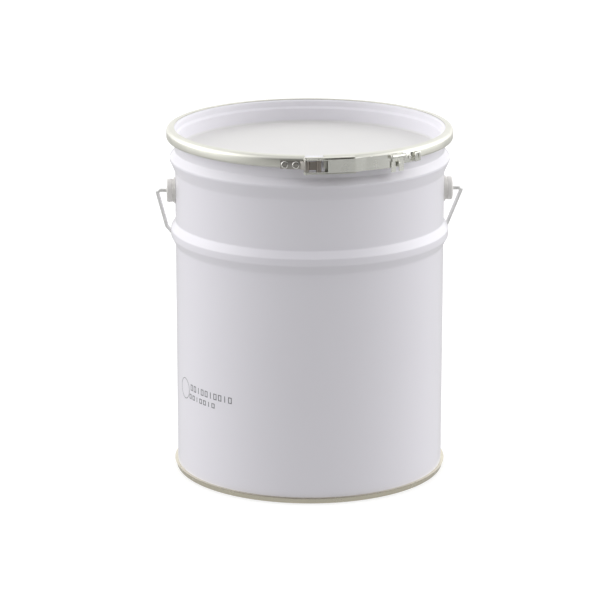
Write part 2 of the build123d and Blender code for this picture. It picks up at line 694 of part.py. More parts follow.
def ring_nodes():
    """The clamping ring and its closure, as if the lever's gap were at the very front."""
    band = ring_band()
    for hole in rivet_holes():
        band -= hole
    return {
        "ring_band": band,
        "strap": strap(),
        "strap_rivets": strap_rivets(),
        "hinge_pin": hinge_pin(),
        "link": link(),
        "link_pin": link_pin(),
        "lever": lever(),
        "fulcrum_bracket": fulcrum_bracket(),
        "fulcrum_rivets": fulcrum_rivets(),
        "bracket_rivets": plate_rivets(BRACKET_RIVET_ANGLES, BRACKET_SHEET, BRACKET_RIVET_RADIUS),
        "keeper": keeper(),
        "keeper_rivets": plate_rivets(KEEPER_RIVET_ANGLES, KEEPER_SHEET, KEEPER_RIVET_RADIUS),
        "safety_catch": safety_catch(),
        "catch_pin": catch_pin(),
    }


def main():
    nodes = can_nodes()
    for name, shape in ring_nodes().items():
        nodes[name] = Rot(0, 0, CLOSURE_TURN) * shape
    os.makedirs("parts", exist_ok=True)
    for name, shape in nodes.items():
        export_step(shape, f"parts/{name}.step")


main()
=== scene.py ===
"""Looks for the twenty-litre steel pail: painted body, recessed lid, lever-lock ring and wire bail. Metres.

Angles round the pail are in degrees from the front (-Y), growing towards +X. Profiles are lists of
(radius, height) points. The closure is drawn with its gap at the very front, and each piece of it is
then turned by FRONT to where the frame has the lever's fulcrum.
"""

import json
from math import acos, atan2, cos, degrees, hypot, radians, sin, tan

import bpy
from mathutils import Matrix, Vector


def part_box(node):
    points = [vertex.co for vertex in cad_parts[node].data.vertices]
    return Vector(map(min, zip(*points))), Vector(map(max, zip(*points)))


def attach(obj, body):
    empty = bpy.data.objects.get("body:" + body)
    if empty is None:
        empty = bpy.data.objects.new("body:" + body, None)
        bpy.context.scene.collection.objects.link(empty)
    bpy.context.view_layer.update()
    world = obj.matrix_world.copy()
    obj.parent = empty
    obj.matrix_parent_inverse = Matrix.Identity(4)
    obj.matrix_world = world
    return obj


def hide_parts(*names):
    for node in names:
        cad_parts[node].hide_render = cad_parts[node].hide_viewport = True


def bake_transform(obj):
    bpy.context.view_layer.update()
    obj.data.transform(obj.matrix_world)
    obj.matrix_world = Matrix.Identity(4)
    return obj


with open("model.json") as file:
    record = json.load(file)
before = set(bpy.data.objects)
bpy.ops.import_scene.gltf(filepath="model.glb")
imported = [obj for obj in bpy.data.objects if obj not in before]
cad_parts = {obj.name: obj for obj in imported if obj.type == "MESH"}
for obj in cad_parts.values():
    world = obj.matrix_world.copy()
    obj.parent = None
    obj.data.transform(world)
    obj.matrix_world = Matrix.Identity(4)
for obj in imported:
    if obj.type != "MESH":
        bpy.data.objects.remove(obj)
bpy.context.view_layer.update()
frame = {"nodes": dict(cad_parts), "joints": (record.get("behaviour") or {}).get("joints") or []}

MM = 0.001

# ---------------------------------------------------------------- sizes read from the frame
ring_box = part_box("ring_band")
RIM_TOP = ring_box[1].z
RING_OUT = max(ring_box[1].x, -ring_box[0].x)
CURL_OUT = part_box("body_shell")[1].x
ear_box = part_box("ear_right")
EAR_FACE = ear_box[1].x
EAR_Z = (ear_box[0].z + ear_box[1].z) / 2
EAR_FLANGE = (ear_box[1].z - ear_box[0].z) / 2
CURL_WIDTH = 7.0 * MM
BODY_OUT = CURL_OUT - CURL_WIDTH
MOUTH_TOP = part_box("body_shell")[1].z
LID_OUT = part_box("lid")[1].x
PIVOTS = {joint["name"]: joint for joint in frame["joints"]}
FULCRUM = Vector(PIVOTS["lever_swing"]["pos_m"])
LINK_PIN = Vector(PIVOTS["link_swing"]["pos_m"])
CLOSURE_Z = FULCRUM.z

# The closure's gap lies this many degrees beyond the fulcrum
FULCRUM_OFF_GAP = 1.204
FRONT = degrees(atan2(FULCRUM.x, -FULCRUM.y)) + FULCRUM_OFF_GAP

# Angles on the closure, in degrees from its gap
BAND_START = 5.4
BAND_END = 358.1
BRACKET_LEFT = 5.8
BRACKET_RIGHT = 17.3
TONGUE_RIGHT = 6.4
WINDOW_RIGHT = 6.7
HANDLE_LEFT = 21.0
HANDLE_RIGHT = 37.6
STAPLE = 34.6
STRAP_LEFT = -11.3
STRAP_SLANT = 0.075
STRAP_RIVETS = (-9.5, -5.2)
KEEPER_LEFT = 32.0
KEEPER_RIGHT = 47.2
EYE = KEEPER_RIGHT - 2.0

SHEET = 0.4 * MM
LID_SHEET = 0.45 * MM
BAND_SHEET = 0.8 * MM

# ---------------------------------------------------------------- camera, light and floor
CAMERA_DISTANCE = 3.081
CAMERA_HEIGHT = 1.022
CAMERA_AZIMUTH = -2.5
CAMERA_LENS = 177.5
SENSOR_WIDTH = 36.0
FAR_CLIP = 60.0
AIM = (-0.0103, 0.0, 0.182)

# Each eased wall of the tent: where it starts and ends on its axis, and its strength there
TENT_OPENING = (-0.93, -0.08, 0.0, 2.55)
TENT_BACK = (0.2, 0.95, 1.0, 0.45)
TENT_ROOF = (0.4, 0.95, 0.0, 1.0)
ROOF_GLOW = 0.8
FLOOR_GLOW = 0.56
FLOOR_RADIUS = 4.0
FLOOR_DROP = 0.4 * MM
PAPER_GREY = 0.5
PAPER_GLOW = 0.62


def place_camera():
    turn = radians(CAMERA_AZIMUTH)
    spot = Vector((CAMERA_DISTANCE * sin(turn), -CAMERA_DISTANCE * cos(turn), CAMERA_HEIGHT))
    bpy.ops.object.camera_add(location=spot)
    camera = bpy.context.object
    camera.name = "camera"
    camera.data.lens = CAMERA_LENS
    camera.data.sensor_width = SENSOR_WIDTH
    camera.rotation_euler = (Vector(AIM) - spot).to_track_quat("-Z", "Y").to_euler()
    camera.data.clip_end = FAR_CLIP
    bpy.context.scene.camera = camera
    bpy.context.scene.view_settings.view_transform = "Standard"


def seen_or_cast(tree, cast, seen):
    """Shader that the eye sees as one thing, and that lights its surroundings as another."""
    rays = tree.nodes.new("ShaderNodeLightPath")
    both = tree.nodes.new("ShaderNodeMixShader")
    tree.links.new(rays.outputs["Is Camera Ray"], both.inputs["Fac"])
    tree.links.new(cast, both.inputs[1])
    tree.links.new(seen, both.inputs[2])
    return both.outputs["Shader"]


def eased(tree, value, start, end, low, high):
    ramp = tree.nodes.new("ShaderNodeMapRange")
    ramp.interpolation_type = "SMOOTHSTEP"
    for name, number in (("From Min", start), ("From Max", end), ("To Min", low), ("To Max", high)):
        ramp.inputs[name].default_value = number
    tree.links.new(value, ramp.inputs["Value"])
    return ramp.outputs["Result"]


def tent():
    """White studio tent: bright walls all round, dimmer overhead and on the side where its opening is."""
    world = bpy.data.worlds.new("tent")
    bpy.context.scene.world = world
    world.use_nodes = True
    tree = world.node_tree
    tree.nodes.clear()
    place = tree.nodes.new("ShaderNodeTexCoord")
    parts = tree.nodes.new("ShaderNodeSeparateXYZ")
    walls = tree.nodes.new("ShaderNodeMath")
    walls.operation = "MULTIPLY"
    total = tree.nodes.new("ShaderNodeMix")
    total.inputs["B"].default_value = ROOF_GLOW
    lit = tree.nodes.new("ShaderNodeBackground")
    clear = tree.nodes.new("ShaderNodeBackground")
    clear.inputs["Color"].default_value = (1.0, 1.0, 1.0, 1.0)
    lit.inputs["Color"].default_value = (0.99, 0.99, 1.0, 1.0)
    out = tree.nodes.new("ShaderNodeOutputWorld")
    link = tree.links.new
    link(place.outputs["Generated"], parts.inputs["Vector"])
    link(eased(tree, parts.outputs["Y"], *TENT_OPENING), walls.inputs[0])
    link(eased(tree, parts.outputs["Y"], *TENT_BACK), walls.inputs[1])
    link(eased(tree, parts.outputs["Z"], *TENT_ROOF), total.inputs["Factor"])
    link(walls.outputs["Value"], total.inputs["A"])
    link(total.outputs["Result"], lit.inputs["Strength"])
    link(seen_or_cast(tree, lit.outputs["Background"], clear.outputs["Background"]), out.inputs["Surface"])


def floor():
    """Pale sweep. It looks white, with a soft shadow under the pail, and throws a little less light back."""
    place = (0, 0, -FLOOR_DROP)
    bpy.ops.mesh.primitive_circle_add(vertices=96, radius=FLOOR_RADIUS, fill_type="NGON", location=place)
    sweep = bpy.context.object
    sweep.name = "floor"
    paper = new_material("floor_paper")
    tree = paper.node_tree
    shader = tree.nodes["Principled BSDF"]
    shader.inputs["Base Color"].default_value = (PAPER_GREY, PAPER_GREY, PAPER_GREY, 1.0)
    shader.inputs["Roughness"].default_value = 0.9
    shader.inputs["Specular IOR Level"].default_value = 0.0
    shader.inputs["Emission Color"].default_value = (1.0, 1.0, 1.0, 1.0)
    shader.inputs["Emission Strength"].default_value = PAPER_GLOW
    glow = tree.nodes.new("ShaderNodeEmission")
    glow.inputs["Strength"].default_value = FLOOR_GLOW
    out = tree.nodes["Material Output"]
    both = seen_or_cast(tree, glow.outputs["Emission"], shader.outputs["BSDF"])
    tree.links.new(both, out.inputs["Surface"])
    wear(sweep, paper)


# ---------------------------------------------------------------- materials
def new_material(name):
    material = bpy.data.materials.new(name)
    material.use_nodes = True
    return material


def wear(piece, *materials):
    """Gives a piece its materials in place of any that it has."""
    piece.data.materials.clear()
    for material in materials:
        piece.data.materials.append(material)


class Finish:
    """One node material: a Principled shader with object-space noise for its colour, gloss and surface."""

    def __init__(self, name, colour, roughness, metallic=0.0):
        self.material = new_material(name)
        self.tree = self.material.node_tree
        self.shader = self.tree.nodes["Principled BSDF"]
        self.shader.inputs["Base Color"].default_value = (*colour, 1.0)
        self.shader.inputs["Roughness"].default_value = roughness
        self.shader.inputs["Metallic"].default_value = metallic
        self.place = self.node("ShaderNodeTexCoord").outputs["Object"]

    def node(self, kind, **values):
        made = self.tree.nodes.new(kind)
        for name, value in values.items():
            made.inputs[name.replace("_", " ")].default_value = value
        return made

    def join(self, outlet, inlet):
        self.tree.links.new(outlet, inlet)

    def stretched(self, scale):
        mapping = self.node("ShaderNodeMapping")
        mapping.inputs["Scale"].default_value = scale
        self.join(self.place, mapping.inputs["Vector"])
        return mapping.outputs["Vector"]

    def noise(self, scale, detail=4.0, stretch=(1.0, 1.0, 1.0)):
        made = self.node("ShaderNodeTexNoise", Scale=scale, Detail=detail)
        self.join(self.stretched(stretch), made.inputs["Vector"])
        return made.outputs["Fac"]

    def ranged(self, fac, low, high, start=0.3, end=0.7):
        made = self.node("ShaderNodeMapRange", From_Min=start, From_Max=end, To_Min=low, To_Max=high)
        self.join(fac, made.inputs["Value"])
        return made.outputs["Result"]

    def mixed(self, fac, first, second):
        """Mix of two colours, each a colour or an outlet."""
        made = self.node("ShaderNodeMix")
        made.data_type = "RGBA"
        for socket, value in ((made.inputs[6], first), (made.inputs[7], second)):
            if isinstance(value, tuple):
                socket.default_value = (*value, 1.0)
            else:
                self.join(value, socket)
        self.join(fac, made.inputs["Factor"])
        return made.outputs[2]

    def colour_from(self, outlet):
        self.join(outlet, self.shader.inputs["Base Color"])

    def gloss_from(self, outlet):
        self.join(outlet, self.shader.inputs["Roughness"])

    def bump_from(self, outlet, depth, strength=1.0):
        bump = self.node("ShaderNodeBump", Strength=strength, Distance=depth)
        self.join(outlet, bump.inputs["Height"])
        self.join(bump.outputs["Normal"], self.shader.inputs["Normal"])

    def height(self):
        axes = self.node("ShaderNodeSeparateXYZ")
        self.join(self.place, axes.inputs["Vector"])
        return axes.outputs["Z"]


def shade(colour, factor):
    return tuple(min(1.0, part * factor) for part in colour)


def white_enamel():
    """Pale lavender-white stoving enamel with a faint orange peel."""
    colour = (0.850, 0.832, 0.880)
    finish = Finish("white_enamel", colour, 0.30)
    finish.colour_from(finish.mixed(finish.noise(9.0), shade(colour, 0.985), shade(colour, 1.012)))
    finish.bump_from(finish.noise(450.0, 2.0), 0.00001, 0.2)
    finish.shader.inputs["Coat Weight"].default_value = 0.6
    finish.shader.inputs["Coat Roughness"].default_value = 0.16
    return finish.material


def lid_enamel_with_painted_reflection():
    """The cover's enamel: where it turns up, the same as the wall outside; on the panel flatter, and painted
    darker and warmer as a painted reflection of the surroundings' light.
    """
    # The panel colour is a painted reflection, darker and warmer than the enamel's own colour on the wall.
    panel, wall = (0.735, 0.727, 0.712), (0.860, 0.845, 0.893)
    finish = Finish("lid_enamel_with_painted_reflection", panel, 0.5)
    level = RIM_TOP - 25.0 * MM
    rise = finish.ranged(finish.height(), 0.0, 1.0, level + 0.6 * MM, level + 3.0 * MM)
    speck = finish.noise(14.0)
    base = finish.mixed(rise, panel, wall)
    finish.colour_from(finish.mixed(finish.ranged(speck, 0.0, 0.05), base, (0.72, 0.71, 0.70)))
    finish.gloss_from(finish.ranged(finish.noise(30.0), 0.44, 0.56))
    finish.bump_from(finish.noise(700.0, 2.0), 0.00002, 0.35)
    return finish.material


def plated(name, colour, low, high, grain=(1.0, 1.0, 1.0), scale=60.0, depth=0.00003):
    """Bright zinc or tin plate: fine mottling, uneven gloss and drawing marks along the sheet."""
    finish = Finish(name, colour, low, 1.0)
    marks = finish.noise(scale, 6.0, grain)
    finish.colour_from(finish.mixed(marks, shade(colour, 0.93), shade(colour, 1.05)))
    finish.gloss_from(finish.ranged(finish.noise(scale / 2, 3.0), low, high))
    finish.bump_from(marks, depth, 0.4)
    return finish.material


def plain(name, colour, roughness, metallic=0.0, scale=120.0, depth=0.00004):
    finish = Finish(name, colour, roughness, metallic)
    marks = finish.noise(scale, 5.0)
    finish.colour_from(finish.mixed(marks, shade(colour, 0.94), shade(colour, 1.05)))
    finish.gloss_from(finish.ranged(marks, roughness - 0.05, roughness + 0.06))
    finish.bump_from(marks, depth, 0.4)
    return finish.material


ENAMEL = white_enamel()
LID_ENAMEL_WITH_PAINTED_REFLECTION = lid_enamel_with_painted_reflection()
BAND_PLATE = plated("band_zinc", (0.735, 0.73, 0.66), 0.34, 0.44, (1.0, 1.0, 6.0))
LEVER_PLATE = plated("lever_zinc", (0.80, 0.80, 0.74), 0.20, 0.32, (1.0, 1.0, 10.0), 80.0)
STRAP_PLATE = plated("strap_zinc", (0.42, 0.40, 0.37), 0.30, 0.42, scale=200.0)
TIN_PLATE = plated("tin_plate", (0.68, 0.64, 0.52), 0.20, 0.30, (1.0, 1.0, 12.0))
RIVET_STEEL = plain("rivet_steel", (0.72, 0.71, 0.67), 0.26, 1.0, 300.0)
# Dark steel for the hinge pin and the link, also used as painted shade inside the rivet bores.
DARK_STEEL_AND_BORE_SHADE = plain("dark_steel_and_bore_shade", (0.30, 0.27, 0.24), 0.38, 1.0, 300.0)
EAR_STEEL = plain("ear_enamel", (0.80, 0.785, 0.75), 0.42, 0.0, 200.0)
WIRE_STEEL = plain("bail_wire_zinc", (0.82, 0.82, 0.80), 0.4, 0.5, 400.0)
GRIP_PLASTIC = plain("grip_plastic", (0.82, 0.82, 0.79), 0.5, 0.0, 250.0)
RUBBER = plain("gasket_rubber", (0.05, 0.05, 0.05), 0.7, 0.0, 300.0)
COMPOUND = plain("seam_compound", (0.42, 0.36, 0.26), 0.6, 0.0, 300.0)
INK = plain("marking_ink", (0.22, 0.22, 0.23), 0.6, 0.0, 900.0)

CAD_FINISHES = {
    "body_shell": ENAMEL, "bottom_end": TIN_PLATE, "seam_compound": COMPOUND,
    "lid": LID_ENAMEL_WITH_PAINTED_REFLECTION, "lid_gasket": RUBBER, "ring_band": BAND_PLATE,
    "strap": STRAP_PLATE, "strap_rivets": RIVET_STEEL, "hinge_pin": DARK_STEEL_AND_BORE_SHADE,
    "link": DARK_STEEL_AND_BORE_SHADE, "link_pin": RIVET_STEEL, "lever": LEVER_PLATE,
    "fulcrum_bracket": BAND_PLATE, "fulcrum_rivets": RIVET_STEEL, "bracket_rivets": RIVET_STEEL,
    "keeper": LEVER_PLATE, "keeper_rivets": RIVET_STEEL, "safety_catch": LEVER_PLATE,
    "catch_pin": RIVET_STEEL, "ear_left": EAR_STEEL, "ear_right": EAR_STEEL,
    "bail_wire": WIRE_STEEL, "grip": GRIP_PLASTIC,
}

# ---------------------------------------------------------------- modelling, one operator after another


def deselect():
    if bpy.context.mode != "OBJECT":
        bpy.ops.object.mode_set(mode="OBJECT")
    bpy.ops.object.select_all(action="DESELECT")


def edit():
    bpy.ops.object.mode_set(mode="EDIT")


def pick(*pieces):
    """Selects these pieces alone, the first of them active."""
    deselect()
    for piece in pieces:
        piece.select_set(True)
    bpy.context.view_layer.objects.active = pieces[0]


def label(piece, name):
    """Names a piece and its mesh."""
    piece.name = name
    piece.data.name = name


def settle(piece):
    """Puts the piece's place and turn into its mesh."""
    pick(piece)
    bpy.ops.object.transform_apply(location=True, rotation=True, scale=True)


def apply_modifier(piece, kind, **values):
    pick(piece)
    modifier = piece.modifiers.new(kind.lower(), kind)
    for name, value in values.items():
        setattr(modifier, name, value)
    bpy.ops.object.modifier_apply(modifier=modifier.name)


def smooth(piece, limit=40.0):
    pick(piece)
    bpy.ops.object.shade_smooth_by_angle(angle=radians(limit))


def mend(piece, reach=1e-6):
    """Closes seams and turns the faces outwards."""
    edit()
    bpy.ops.mesh.select_all(action="SELECT")
    bpy.ops.mesh.remove_doubles(threshold=reach)
    bpy.ops.mesh.normals_make_consistent(inside=False)
    bpy.ops.object.mode_set(mode="OBJECT")


def rounded(corners, bends, steps=5):
    """Outline through the corners, each inner one rounded by an arc of its bend radius."""
    points = [Vector(corners[0])]
    for before, corner, after, bend in zip(corners, corners[1:], corners[2:], bends):
        corner = Vector(corner)
        back, on = (Vector(before) - corner).normalized(), (Vector(after) - corner).normalized()
        half = acos(max(-1.0, min(1.0, back.dot(on)))) / 2
        if bend <= 0 or half > radians(89):
            points.append(corner)
            continue
        centre = corner + (back + on).normalized() * (bend / sin(half))
        first = corner + back * (bend / tan(half)) - centre
        last = corner + on * (bend / tan(half)) - centre
        sweep = atan2(first.x * last.y - first.y * last.x, first.dot(last))
        for i in range(steps + 1):
            points.append(centre + Matrix.Rotation(sweep * i / steps, 2) @ first)
    points.append(Vector(corners[-1]))
    return points


def outline(points):
    """Draws an open line of points in the radius-height plane, one extrusion after another."""
    deselect()
    first = points[0]
    bpy.ops.mesh.primitive_plane_add(size=MM, location=(first[0], 0, first[1]))
    piece = bpy.context.object
    edit()
    bpy.ops.mesh.merge(type="CENTER")
    for last, point in zip(points, points[1:]):
        step = (point[0] - last[0], 0, point[1] - last[1])
        bpy.ops.mesh.extrude_region_move(TRANSFORM_OT_translate={"value": step})
    bpy.ops.object.mode_set(mode="OBJECT")
    settle(piece)
    return piece


def spun(piece, start, end, steps):
    """Spins what is drawn in the radius-height plane about the pail's axis, between two angles."""
    edit()
    bpy.ops.mesh.select_all(action="SELECT")
    bpy.ops.mesh.spin(steps=steps, angle=radians(end - start), center=(0, 0, 0), axis=(0, 0, -1))
    bpy.ops.object.mode_set(mode="OBJECT")
    piece.rotation_euler.z = radians(start - 90.0)
    settle(piece)
    mend(piece)
    return piece


def turned_sheet(name, points, thickness, start=0.0, end=360.0, steps=240):
    """Bent sheet spun about the pail's axis and given its thickness either side of the line."""
    piece = spun(outline(points), start, end, steps)
    label(piece, name)
    apply_modifier(piece, "SOLIDIFY", thickness=thickness, offset=0.0, use_even_offset=True)
    smooth(piece)
    return piece


# ---------------------------------------------------------------- the can
WALL = BODY_OUT - SHEET / 2
UPPER_BEAD = 33.0 * MM
LOWER_BEAD = 109.2 * MM
SEAM_SHEET = 0.3 * MM


def bent(corners, bends):
    """Sheet line from corners given as (radius, height) in metres and bends in millimetres."""
    return rounded(corners, [bend * MM for bend in bends])


def wall_outline(grow=0.0):
    """Side wall from the bottom hook up over both beads to the curl at the mouth."""
    wall = WALL + grow
    upper, lower = RIM_TOP - UPPER_BEAD, RIM_TOP - LOWER_BEAD
    curl_low, curl_high = MOUTH_TOP - 8.2 * MM, MOUTH_TOP - SHEET / 2
    corners = [
        (wall, 7.0 * MM), (wall, lower - 16.6 * MM), (wall + 5.0 * MM, lower - 7.4 * MM),
        (wall + 5.0 * MM, lower), (wall, lower + 8.1 * MM), (wall, upper - 14.2 * MM),
        (wall + 5.7 * MM, upper - 1.0 * MM), (wall + 5.7 * MM, upper + 1.0 * MM),
        (wall, upper + 8.2 * MM), (wall, curl_low),
    ]
    bends = [8.0, 4.0, 3.0, 4.0, 8.0, 0.9, 0.9, 2.5]
    if grow == 0.0:
        curl_out = CURL_OUT - SHEET / 2
        hook = wall + 0.9 * MM
        corners[0] = (wall, 0.65 * MM)
        corners = [(hook, 4.5 * MM), (hook, 0.65 * MM)] + corners[:-1]
        corners += [(wall, curl_high), (curl_out, curl_high), (curl_out, curl_low)]
        corners += [(wall + 2.4 * MM, curl_low), (wall + 2.4 * MM, curl_low + 2.4 * MM)]
        bends = [0.42, 0.42] + bends + [3.3, 3.3, 2.2, 1.1]
    return bent(corners, bends)


def body_wall():
    piece = turned_sheet("body_wall", wall_outline(), SHEET)
    wear(piece, ENAMEL)
    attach(piece, "can")
    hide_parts("body_shell")


def side_seam():
    """Welded lap of the side wall, a low flat ridge up the back."""
    piece = turned_sheet("side_seam", wall_outline(SEAM_SHEET), SEAM_SHEET, 178.8, 181.2, 4)
    wear(piece, ENAMEL)
    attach(piece, "can")


def chime():
    """Bottom end: pressed panel, chuck wall and the double seam round the foot."""
    lap = SHEET + 0.05 * MM
    crown, foot = 6.1 * MM, SHEET / 2
    corners = [
        (0.0, 8.0 * MM), (119.0 * MM, 8.0 * MM), (121.0 * MM, 6.0 * MM), (WALL - lap, 6.0 * MM),
        (WALL - lap, foot), (WALL + 3 * lap, foot), (WALL + 3 * lap, crown), (WALL + lap, crown),
        (WALL + lap, 1.4 * MM),
    ]
    piece = turned_sheet("chime", bent(corners, [1.5, 1.5, 1.6, 0.5, 0.9, 0.9, 0.42]), SHEET)
    wear(piece, TIN_PLATE)
    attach(piece, "can")
    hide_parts("bottom_end")


def lid_cover():
    """Recessed cover: flat panel, stepped wall and the channel over the curl."""
    crest = RIM_TOP - 0.9 * MM - LID_SHEET / 2
    panel = RIM_TOP - 25.6 * MM + LID_SHEET / 2
    plug = BODY_OUT - SHEET - 0.5 * MM - LID_SHEET / 2
    step = RIM_TOP - 9.0 * MM
    skirt = LID_OUT - LID_SHEET / 2
    corners = [
        (0.0, panel), (plug - 2.0 * MM, panel), (plug - 2.0 * MM, step - 1.2 * MM), (plug, step + 1.2 * MM),
        (plug, crest), (skirt, crest), (skirt, MOUTH_TOP - 6.0 * MM),
    ]
    piece = turned_sheet("lid_cover", bent(corners, [3.0, 2.0, 2.0, 2.0, 3.4]), LID_SHEET)
    wear(piece, LID_ENAMEL_WITH_PAINTED_REFLECTION)
    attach(piece, "lid")
    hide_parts("lid")


def clamping_ring():
    """Split band of spring steel, drawn closed and left fixed. On the real pail its free end goes with the
    strap when the lever opens.
    """
    middle = RING_OUT - BAND_SHEET / 2
    top, low = RIM_TOP - BAND_SHEET / 2, RIM_TOP - 11.1 * MM
    lip = (RING_OUT - 6.2 * MM, low - 2.2 * MM)
    section = bent([(RING_OUT - 8.2 * MM, top), (middle, top), (middle, low), lip], [4.0, 1.8])
    start, end = FRONT + BAND_START, FRONT + BAND_END
    piece = turned_sheet("clamping_ring", section, BAND_SHEET, start, end, 300)
    wear(piece, BAND_PLATE)
    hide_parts("ring_band")
    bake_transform(piece)


# ---------------------------------------------------------------- ears, bail and grip
EAR_SHEET = 1.1 * MM
EAR_BENDS = [0.7, 0.3, 0.3, 0.3, 0.3, 1.5, 0.4, 0.4]
WIRE_RADIUS = 2.0 * MM
BAIL_START = (146.5 * MM, 0.0)
BAIL_SHOULDER = (163.0 * MM, 0.0)
BAIL_KNEE = (153.2 * MM, 83.0 * MM)
BAIL_CORNER = 106.4 * MM
BAIL_BENDS = [4.0 * MM, 14.0 * MM, 45.0 * MM]
GRIP_BORE = 2.3 * MM
GRIP_EDGE = 5.8 * MM
GRIP_VALLEY = 6.2 * MM
GRIP_RIB = 6.8 * MM
GRIP_COLLAR = 7.0 * MM
GRIP_PITCH = 4.3 * MM


def about_axis(piece, turn, place):
    """Turns a piece that was spun about Z and sets it in its place."""
    piece.rotation_euler = turn
    piece.location = place
    settle(piece)


def ear(name, side):
    """Pressed cup with a flange on the wall, a groove round it and a hole for the bail."""
    rise = EAR_FACE - BODY_OUT
    cup, face = EAR_FLANGE - 1.6 * MM, rise - 0.6 * MM
    flange = EAR_FLANGE - 0.1 * MM
    corners = [
        (flange, 0.65 * MM), (cup - 0.6 * MM, 0.65 * MM), (cup - 0.6 * MM, 2.6 * MM),
        (cup - 1.2 * MM, 3.0 * MM), (cup - 1.2 * MM, 3.8 * MM), (cup - 0.6 * MM, 4.2 * MM),
        (cup - 0.6 * MM, face), (6.2 * MM, face), (5.6 * MM, face - 0.9 * MM), (2.7 * MM, face - 0.9 * MM),
    ]
    piece = turned_sheet(name, bent(corners, EAR_BENDS), EAR_SHEET, steps=72)
    about_axis(piece, (0, radians(90.0 * side), 0), (side * BODY_OUT, 0, EAR_Z))
    for vertex in piece.data.vertices:
        if abs(vertex.co.x) < BODY_OUT + 2.2 * MM:
            vertex.co.x -= side * (BODY_OUT - (BODY_OUT**2 - vertex.co.y**2) ** 0.5)
    wear(piece, EAR_STEEL)
    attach(piece, "can")
    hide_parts(name.replace("bail_ear", "ear"))


def drawn_wire(name, radius, start, moves):
    """Round wire drawn from a start along +X. Each move runs straight to a point or bends left or right."""
    deselect()
    bpy.ops.mesh.primitive_circle_add(
        vertices=24, radius=radius, fill_type="NGON", location=(*start, 0), rotation=(0, radians(90), 0)
    )
    wire = bpy.context.object
    edit()
    spot, heading = Vector(start), Vector((1.0, 0.0))
    for run, bend, angle in moves:
        bpy.ops.mesh.extrude_region_move(TRANSFORM_OT_translate={"value": (*(heading * run), 0)})
        spot = spot + heading * run
        if bend:
            side = Vector((-heading.y, heading.x)) * (1 if angle > 0 else -1)
            centre = spot + side * bend
            steps = max(4, int(abs(angle) / 6))
            bpy.ops.mesh.spin(steps=steps, angle=radians(-angle), center=(*centre, 0), axis=(0, 0, 1))
            turn = Matrix.Rotation(radians(angle), 2)
            spot, heading = centre + turn @ (spot - centre), turn @ heading
    # Each run leaves a face across the inside of the wire
    bpy.ops.mesh.select_all(action="DESELECT")
    bpy.ops.mesh.select_mode(type="FACE")
    bpy.ops.mesh.select_interior_faces()
    bpy.ops.mesh.delete(type="FACE")
    bpy.ops.mesh.select_mode(type="VERT")
    bpy.ops.object.mode_set(mode="OBJECT")
    settle(wire)
    mend(wire)
    label(wire, name)
    smooth(wire, 50)
    return wire


def route(corners, bends):
    """Straight runs and bends, in order, of a wire that goes from corner to corner."""
    moves, cut = [], 0.0
    for before, corner, after, bend in zip(corners, corners[1:], corners[2:], bends + [0.0]):
        come, leave = Vector(corner) - Vector(before), Vector(after) - Vector(corner)
        angle = degrees(atan2(come.x * leave.y - come.y * leave.x, come.dot(leave)))
        back = bend * tan(radians(abs(angle)) / 2)
        moves.append((come.length - cut - back, bend, angle))
        cut = back
    last = (Vector(corners[-1]) - Vector(corners[-2])).length - cut
    moves.append((last, 0.0, 0.0))
    return moves


def bail_wire():
    """Bail: straight ends in the ears, shoulders clear of the ring and a long middle under the grip."""
    pivot, grip = Vector(PIVOTS["bail_swing"]["pos_m"]), Vector(PIVOTS["grip_spin"]["pos_m"])
    reach = (grip - pivot).length
    half = [BAIL_START, BAIL_SHOULDER, BAIL_KNEE, (BAIL_CORNER, reach)]
    corners = half + [(-across, down) for across, down in half[::-1]]
    wire = drawn_wire("bail", WIRE_RADIUS, corners[0], route(corners, BAIL_BENDS + BAIL_BENDS[::-1]))
    tilt = atan2(grip.z - pivot.z, grip.y - pivot.y)
    about_axis(wire, (tilt, 0, 0), pivot)
    wear(wire, WIRE_STEEL)
    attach(wire, "bail")
    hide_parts("bail_wire")


def grip_sleeve():
    """Moulded sleeve with a collar at each end and shallow finger rings between."""
    place = Vector(PIVOTS["grip_spin"]["pos_m"])
    half = (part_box("grip")[1].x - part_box("grip")[0].x) / 2
    points = [(GRIP_BORE, -half), (GRIP_EDGE, -half), (GRIP_COLLAR, -half + 1.2 * MM)]
    points += [(GRIP_COLLAR, -half + 5.0 * MM)]
    ring = -half + 6.0 * MM
    while ring + GRIP_PITCH < half - 5.5 * MM:
        points += [(GRIP_VALLEY, ring), (GRIP_VALLEY, ring + 1.0 * MM), (GRIP_RIB, ring + 1.6 * MM)]
        points += [(GRIP_RIB, ring + GRIP_PITCH - 0.6 * MM)]
        ring += GRIP_PITCH
    points += [(GRIP_VALLEY, ring), (GRIP_COLLAR, half - 5.0 * MM), (GRIP_COLLAR, half - 1.2 * MM)]
    points += [(GRIP_EDGE, half), (GRIP_BORE, half), (GRIP_BORE, -half)]
    sleeve = spun(outline(points), 0.0, 360.0, 48)
    label(sleeve, "grip_sleeve")
    about_axis(sleeve, (0, radians(90), 0), place)
    smooth(sleeve, 35)
    wear(sleeve, GRIP_PLASTIC)
    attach(sleeve, "grip")
    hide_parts("grip")


# ---------------------------------------------------------------- closure, drawn with its gap at the front
TO_FRONT = Matrix.Rotation(radians(-FRONT), 3, "Z")
FULCRUM_SPOT, LINK_SPOT = TO_FRONT @ FULCRUM, TO_FRONT @ LINK_PIN
HINGE_INSET = 0.8 * MM
HINGE_SPOT = FULCRUM_SPOT + Vector((0, HINGE_INSET, 0))
NOSE = degrees(atan2(FULCRUM_SPOT.x, -FULCRUM_SPOT.y))

# Radii in millimetres beyond the ring
PLATE_SHEET = 0.8
LEVER_OUT = 7.6
LEVER_IN = 6.7
HANDLE_OUT = 4.6
HANDLE_IN = 3.7
STRAP_OUT = 1.2
BRACKET_OUT = 6.0
CATCH_OUT = 5.45
CATCH_PIN_OUT = 6.9

